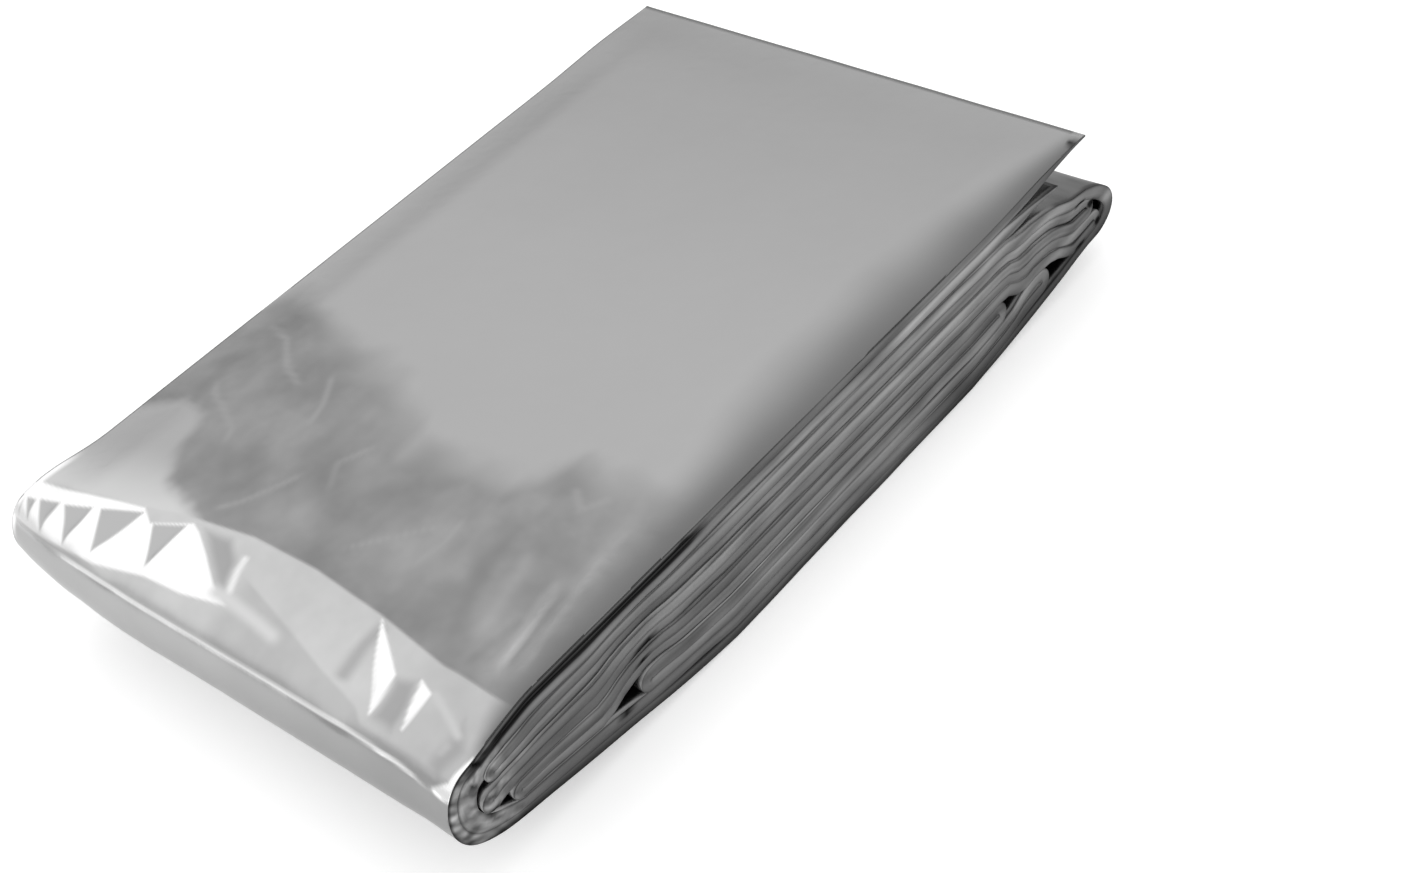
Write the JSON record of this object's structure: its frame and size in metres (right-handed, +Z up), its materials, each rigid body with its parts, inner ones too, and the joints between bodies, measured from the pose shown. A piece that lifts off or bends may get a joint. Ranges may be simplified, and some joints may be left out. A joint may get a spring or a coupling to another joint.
{
  "type": "folded emergency foil blanket",
  "caption": "Thin metallised film rescue blanket, pleated into a strip and folded back and forth into a flat pocket-sized pack.",
  "frame": {"origin": "centre of the box's underside, on the floor that the folded blanket rests on", "axes": "+X to the right across the strip's width, +Y along the pack from the rounded front nose to the back, +Z up"},
  "size_m": [0.0808, 0.1334, 0.023],
  "materials": {
    "film": "bright metallised polyester film, smooth on the faces and finely creased along the edges"
  },
  "bodies": {
    "root": {"blanket": "film"}
  },
  "joints": []
}
